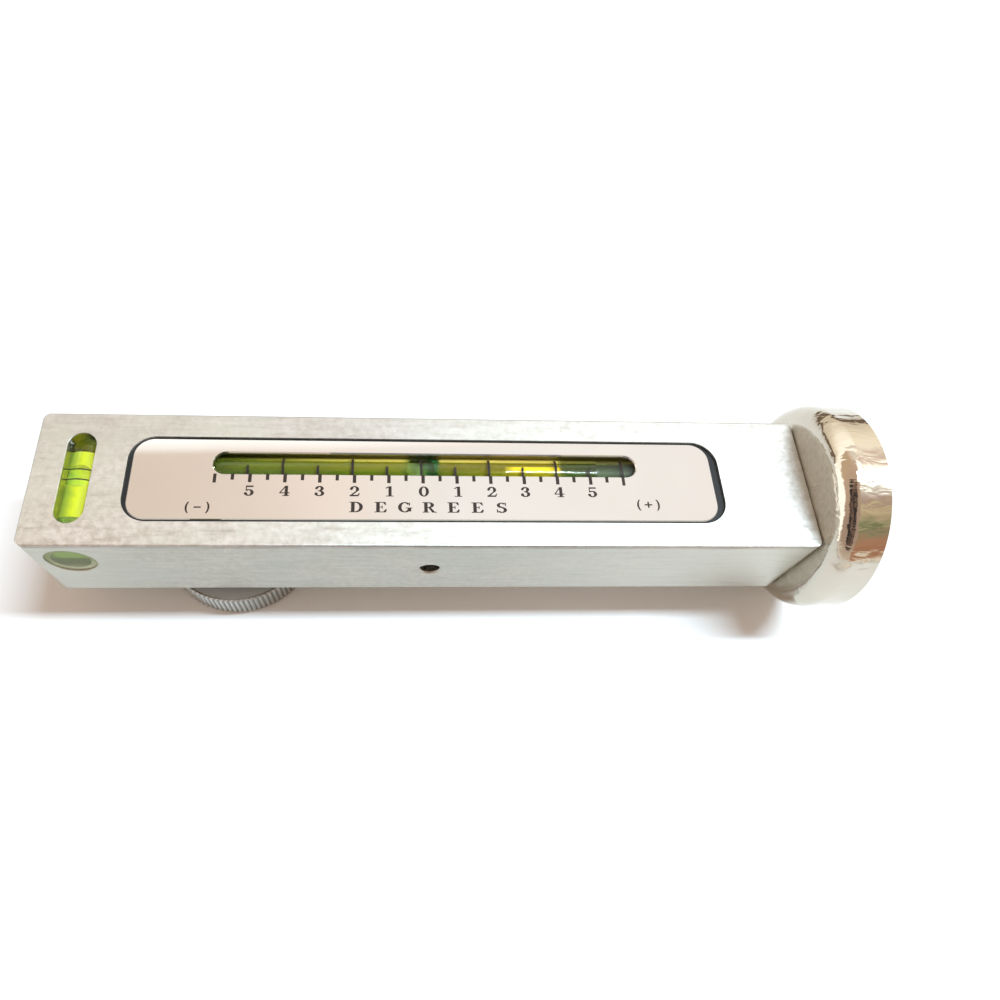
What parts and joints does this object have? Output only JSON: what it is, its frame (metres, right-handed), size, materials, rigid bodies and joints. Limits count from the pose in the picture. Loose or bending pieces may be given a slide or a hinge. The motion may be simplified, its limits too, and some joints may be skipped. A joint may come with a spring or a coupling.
{
  "type": "camber caster gauge",
  "caption": "Wheel alignment gauge: aluminium bar with camber and caster spirit vials, a cross level vial, a knurled zero adjuster and a magnetic foot.",
  "frame": {"origin": "centre of the magnet's contact face", "axes": "+X along the bar, out of the magnet's contact face; +Z out of the camber face; +Y completes the frame"},
  "size_m": [0.1596, 0.0424, 0.0424],
  "materials": {
    "body": "satin milled",
    "plate": "polished, pale",
    "seal": "smooth, semi-matt",
    "vial_tube": "clear",
    "level_tube": "clear, tinted",
    "vial_fluid": "clear yellow-green liquid",
    "level_fluid": "clear yellow-green liquid",
    "vial_plug": "smooth",
    "level_plug": "clear, tinted",
    "saddle": "matt",
    "rocker": "moulded",
    "pin_steel": "ground",
    "spring_steel": "bright wire",
    "brass": "turned",
    "screw_steel": "zinc plated",
    "knob": "satin nickel plate, ribbed",
    "pad": "smooth",
    "magnet_cup": "bright nickel plate",
    "magnet": "sintered",
    "core": "ground",
    "potting": "cast resin"
  },
  "bodies": {
    "housing": {"body": "body", "camber_plate": "plate", "camber_vial": "vial_tube", "camber_fluid": "vial_fluid", "camber_vial_plugs": "vial_plug", "camber_saddle": "saddle", "camber_seal": "seal", "caster_plate": "plate", "caster_seal": "seal", "pivot_pin": "pin_steel", "adjuster_bush": "brass", "level_vial": "level_tube", "level_fluid": "level_fluid", "level_vial_plug": "level_plug", "magnet_cup": "magnet_cup", "magnet_ring": "magnet", "magnet_core": "core", "magnet_potting": "potting", "magnet_stud": "screw_steel"},
    "lifter": {"thrust_pad": "pad"},
    "knob": {"knob": "knob", "adjuster_screw": "screw_steel"},
    "rocker": {"caster_rocker": "rocker", "caster_vial": "vial_tube", "caster_fluid": "vial_fluid", "caster_vial_plugs": "vial_plug", "return_spring": "spring_steel"}
  },
  "joints": [
    {"name": "screw_lift", "type": "slide", "parent": "housing", "child": "lifter", "axis": [0, 0, 1], "range_m": [-0.00186, 0.00186]},
    {"name": "knob_turn", "type": "hinge", "parent": "lifter", "child": "knob", "pos_m": [-0.1258, 0, -0.01745], "axis": [0, 0, 1], "range_deg": [-670, 670]},
    {"name": "caster_tilt", "type": "hinge", "parent": "housing", "child": "rocker", "pos_m": [-0.0849, -0.0034, -0.00024], "axis": [0, 1, 0], "range_deg": [-2.61, 2.61], "deforming": ["return_spring"]}
  ],
  "couplings": [
    {"joint": "screw_lift", "follows": "knob_turn", "m_per_rad": 0.00015915},
    {"joint": "caster_tilt", "follows": "knob_turn", "ratio": 0.0038913}
  ]
}
